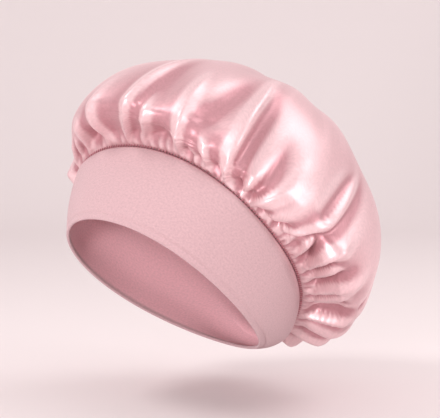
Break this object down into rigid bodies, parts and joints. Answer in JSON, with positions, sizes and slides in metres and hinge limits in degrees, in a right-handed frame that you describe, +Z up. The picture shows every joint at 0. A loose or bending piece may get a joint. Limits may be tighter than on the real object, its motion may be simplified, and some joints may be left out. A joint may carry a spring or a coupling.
{
  "type": "sleep bonnet",
  "caption": "Sleep bonnet with a wide soft knit head band and a full gathered satin crown.",
  "frame": {"origin": "middle of the head opening, in the plane of the band's free edge", "axes": "+Z up and -Y towards the wearer's front, with +X to the wearer's left; the opening faces down and forward, tipped 38.2 degrees from level as the bonnet is worn"},
  "size_m": [0.2603, 0.2673, 0.2478],
  "materials": {
    "knit_rose": "matte fine jersey knit",
    "satin_rose": "glossy satin weave"
  },
  "bodies": {
    "root": {"band": "knit_rose", "crown": "satin_rose"}
  },
  "joints": []
}
